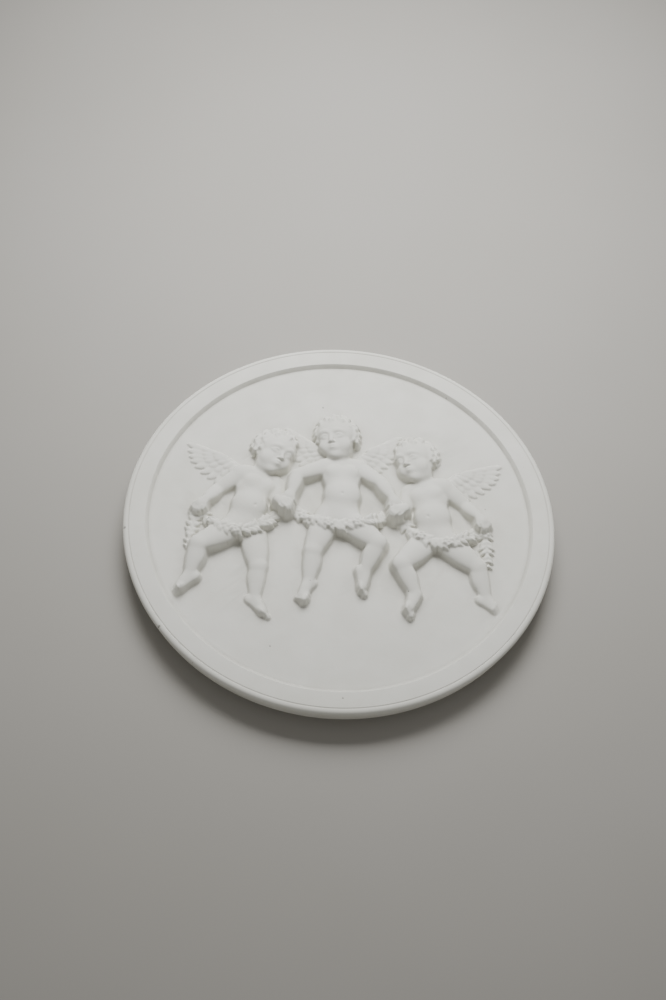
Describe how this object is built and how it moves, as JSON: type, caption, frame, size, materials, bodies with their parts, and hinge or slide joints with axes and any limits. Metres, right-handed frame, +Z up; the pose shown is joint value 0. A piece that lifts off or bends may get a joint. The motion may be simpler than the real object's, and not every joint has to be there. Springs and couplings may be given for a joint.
{
  "type": "cherub wall plaque",
  "caption": "Round wall plaque of unglazed porcelain with a raised border and a low relief of winged putti carrying a garland; foot ring and cord holes on the back.",
  "frame": {"origin": "on the flat back of the foot ring, at the plaque's top, where it bears on the wall under its cord", "axes": "+Z up, +X to the viewer's right, the carved face towards -Y and the wall towards +Y"},
  "size_m": [0.14, 0.0136, 0.14],
  "materials": {
    "porcelain": "unglazed, matt white porcelain, slightly soiled at the edges"
  },
  "bodies": {
    "root": {"plaque": "porcelain"}
  },
  "joints": []
}
